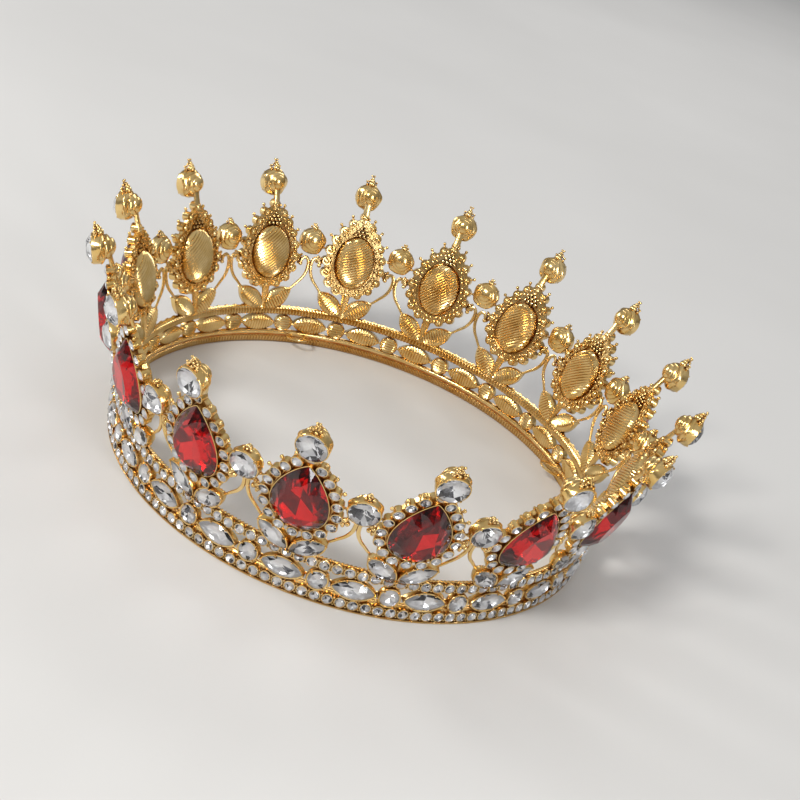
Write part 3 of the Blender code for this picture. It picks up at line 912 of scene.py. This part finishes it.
def glass_material(name, low, high, gloss):
    """Clear glass of a faintly uneven colour and finish."""
    material, nodes, links, shader = new_material(name)
    noise, ramp = mottled(nodes, links, 120, 2, low, high)[1:]
    links.new(ramp.outputs["Color"], shader.inputs["Base Color"])
    shader.inputs["Transmission Weight"].default_value = 1
    shader.inputs["IOR"].default_value = 1.58
    shader.inputs["Specular IOR Level"].default_value = gloss
    rough = nodes.new("ShaderNodeMapRange")
    rough.inputs["To Min"].default_value, rough.inputs["To Max"].default_value = 0.0, 0.03
    links.new(noise.outputs["Fac"], rough.inputs["Value"])
    links.new(rough.outputs["Result"], shader.inputs["Roughness"])
    return material


def foil_material(name, low, high, metallic=1.0, rough=0.1):
    """Foil on the back of a stone."""
    material, nodes, links, shader = new_material(name)
    shader.inputs["Metallic"].default_value = metallic
    shader.inputs["Roughness"].default_value = rough
    ramp = mottled(nodes, links, 400, 2, low, high)[2]
    links.new(ramp.outputs["Color"], shader.inputs["Base Color"])
    return material


# ---------------------------------------------------------------- the tiara


def make_metal():
    # deep is the brown painted into the gilding's crevices as painted shade.
    deep = (0.34, 0.15, 0.04, 1)
    gold = gold_material("gilding", (0.80, 0.53, 0.18, 1), (0.96, 0.72, 0.34, 1), deep, (0.15, 0.3))
    copper = gold_material(
        "reddish_gilding", (0.50, 0.14, 0.04, 1), (0.75, 0.32, 0.09, 1), deep, (0.25, 0.45)
    )
    band = make_band()
    add_row_metal(band, BASE_ROW)
    add_row_metal(band, UPPER_ROW)
    band_cups = Shape()
    add_band_cups(band_cups)
    halos, cups, scrolls = make_motifs()
    made = {
        "band_metal": band, "band_cups": band_cups, "halo_plates": halos, "stone_cups": cups,
        "scroll_wires": scrolls, "hair_eyelets": make_eyelets(),
    }
    for name, shape in made.items():
        obj = shape.make(name, [gold, copper])
        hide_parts("frame")


def make_stones():
    clear = [
        glass_material("crystal", (0.97, 0.98, 0.99, 1), (1, 1, 1, 1), 0.5),
        foil_material("silver_foil", (0.90, 0.90, 0.92, 1), (0.98, 0.98, 0.98, 1), 0.65, 0.15),
        # Dark foil: painted shade and dark reflection on some facets of the clear stones.
        foil_material("painted_shade_foil", (0.05, 0.05, 0.055, 1), (0.20, 0.20, 0.22, 1)),
    ]
    red = [
        glass_material("ruby_glass", (0.72, 0.002, 0.006, 1), (0.90, 0.004, 0.012, 1), 0.1),
        foil_material("red_foil", (0.90, 0.30, 0.26, 1), (1.0, 0.42, 0.36, 1)),
        # Dark red foil: painted shade and dark reflection on some facets of the red stones.
        foil_material("painted_shade_red_foil", (0.12, 0.002, 0.003, 1), (0.32, 0.006, 0.008, 1), 0.8),
    ]
    for number in range(MOTIFS):
        tag = f"{number + 1:02d}"
        shape = Shape()
        place = Seat(f"red_stone_{tag}").place()
        add_brilliant(shape, pear(24), place, PEAR_CUT, table=0.62, star=0.84, sides=6, bright=1.5)
        finish_stone(shape, f"red_gem_{tag}", red, f"red_stone_{tag}")
        for kind in ("peak", "side"):
            shape = Shape()
            seat = Seat(f"{kind}_stone_{tag}").place()
            spin = Matrix.Rotation(random.uniform(0, TURN), 4, "Z")
            add_brilliant(shape, circle(ROUND, 16), seat @ spin, ROUND_CUT)
            finish_stone(shape, f"{kind}_crystal_{tag}", clear, f"{kind}_stone_{tag}")
    make_band_stones(clear)
    make_small_stones(clear)


def finish_stone(shape, name, materials, node):
    """The piece of these stones; it hides a CAD node unless node is None."""
    obj = shape.make(name, materials)
    if node:
        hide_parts(node)


def make_band_stones(clear):
    shape = Shape()
    up = BAND_MIDDLE - BEND
    for unit in range(BAND_UNITS):
        angle = FRONT + (unit + 0.5) * TURN / BAND_UNITS
        place = wall_frame(angle, up=up, lean=0)
        spin = Matrix.Rotation(random.uniform(0, TURN), 4, "Z")
        add_brilliant(shape, circle(BAND_ROUND, 16), place @ spin, BAND_ROUND_CUT)
        place = wall_frame(angle + TURN / BAND_UNITS / 2, up=up, lean=0)
        add_marquise_stone(shape, BAND_MARQUISE, place, BAND_MARQUISE_CUT)
    finish_stone(shape, "band_crystals", clear, "band_stones")
    shape = Shape()
    for number in range(MOTIFS):
        for side in (1, -1):
            place = leaf_place(motif_angle(number), side)
            add_marquise_stone(shape, LEAF, place, LEAF_CUT)
    finish_stone(shape, "leaf_crystals", clear, "leaf_stones")


def make_small_stones(clear):
    rows = {
        "base_rhinestones": (BASE_ROW, "base_stones"),
        "upper_rhinestones": (UPPER_ROW, "leaf_stones"),
    }
    for name, (height, node) in rows.items():
        shape = Shape()
        for number in range(ROW_COUNT):
            angle = FRONT + TURN * number / ROW_COUNT
            add_small_stone(shape, wall_frame(angle, up=height - BEND, lean=0, lift=ROW_LIFT))
        finish_stone(shape, name, clear, node)
    shape = Shape()
    for number in range(MOTIFS):
        for _, place in halo_places(motif_angle(number)):
            add_small_stone(shape, place)
    finish_stone(shape, "halo_rhinestones", clear, None)


# ---------------------------------------------------------------- floor, light, camera

FLOOR_REACH = 3.0
LIGHT_AIM = Vector((0, 0, 0.02))
LIGHTS = {  # place, size, power in watts, colour
    "key": ((-0.35, -0.6, 0.6), (0.2, 0.14), 5.2, (1, 0.98, 0.95)),
    "fill": ((0.6, -0.55, 0.3), (0.15, 0.4), 2.2, (0.97, 0.98, 1)),
    "left": ((-0.7, 0.1, 0.25), (0.12, 0.3), 1.6, (1, 1, 1)),
    "back": ((0.1, 0.8, 0.6), (0.6, 0.2), 2, (1, 1, 1)),
}
CAMERA_LENS = 64.7
CAMERA_DISTANCE = 0.342
CAMERA_TURN = math.radians(5.3)  # to the right of the front peak
CAMERA_RISE = math.radians(27)
CAMERA_ROLL = math.radians(19.7)
LOOK_AT = Vector((0.0059, 0, 0.0211))


def make_floor():
    mesh = bpy.data.meshes.new("floor")
    corners = [(x * FLOOR_REACH, y * FLOOR_REACH, 0) for x, y in ((-1, -1), (1, -1), (1, 1), (-1, 1))]
    mesh.from_pydata(corners, [], [[0, 1, 2, 3]])
    floor = bpy.data.objects.new("floor", mesh)
    bpy.context.scene.collection.objects.link(floor)
    material, nodes, links, shader = new_material("pale_floor")
    ramp = mottled(nodes, links, 6, 3, (0.66, 0.65, 0.63, 1), (0.70, 0.69, 0.67, 1))[2]
    links.new(ramp.outputs["Color"], shader.inputs["Base Color"])
    shader.inputs["Roughness"].default_value = 0.85
    mesh.materials.append(material)


def add_area(name, place, size, power, colour):
    """Soft rectangular light that faces the tiara."""
    data = bpy.data.lights.new(name, "AREA")
    data.shape = "RECTANGLE"
    data.size, data.size_y = size
    data.energy = power
    data.color = colour
    light = bpy.data.objects.new(name, data)
    light.location = place
    light.rotation_euler = (LIGHT_AIM - Vector(place)).to_track_quat("-Z", "Y").to_euler()
    bpy.context.scene.collection.objects.link(light)


def make_light():
    """A studio that is bright overhead and darker towards the floor, with soft panels."""
    world = bpy.data.worlds.new("studio")
    world.use_nodes = True
    nodes, links = world.node_tree.nodes, world.node_tree.links
    direction = nodes.new("ShaderNodeTexCoord")
    split = nodes.new("ShaderNodeSeparateXYZ")
    ramp = nodes.new("ShaderNodeValToRGB")
    low, high = ramp.color_ramp.elements
    low.position, low.color = 0.0, (0.15, 0.145, 0.14, 1)
    high.position, high.color = 1.0, (0.50, 0.51, 0.52, 1)
    middle = ramp.color_ramp.elements.new(0.45)
    middle.color = (0.30, 0.30, 0.31, 1)
    links.new(direction.outputs["Generated"], split.inputs["Vector"])
    links.new(split.outputs["Z"], ramp.inputs["Fac"])
    links.new(ramp.outputs["Color"], nodes["Background"].inputs["Color"])
    bpy.context.scene.world = world
    bpy.context.scene.view_settings.view_transform = "Standard"
    for name, settings in LIGHTS.items():
        add_area(name, *settings)


def make_camera():
    """Camera a little to the right of the front peak, above the floor, with a lean."""
    data = bpy.data.cameras.new("camera")
    data.lens = CAMERA_LENS
    data.clip_start = 0.01
    camera = bpy.data.objects.new("camera", data)
    turn = FRONT + CAMERA_TURN
    level = math.cos(CAMERA_RISE)
    back = Vector((math.cos(turn) * level, math.sin(turn) * level, math.sin(CAMERA_RISE)))
    camera.location = LOOK_AT + back * CAMERA_DISTANCE
    look = (-back).to_track_quat("-Z", "Y").to_matrix().to_4x4()
    camera.matrix_world = Matrix.Translation(camera.location) @ look @ Matrix.Rotation(CAMERA_ROLL, 4, "Z")
    bpy.context.scene.collection.objects.link(camera)
    bpy.context.scene.camera = camera


make_metal()
make_stones()
make_floor()
make_light()
make_camera()
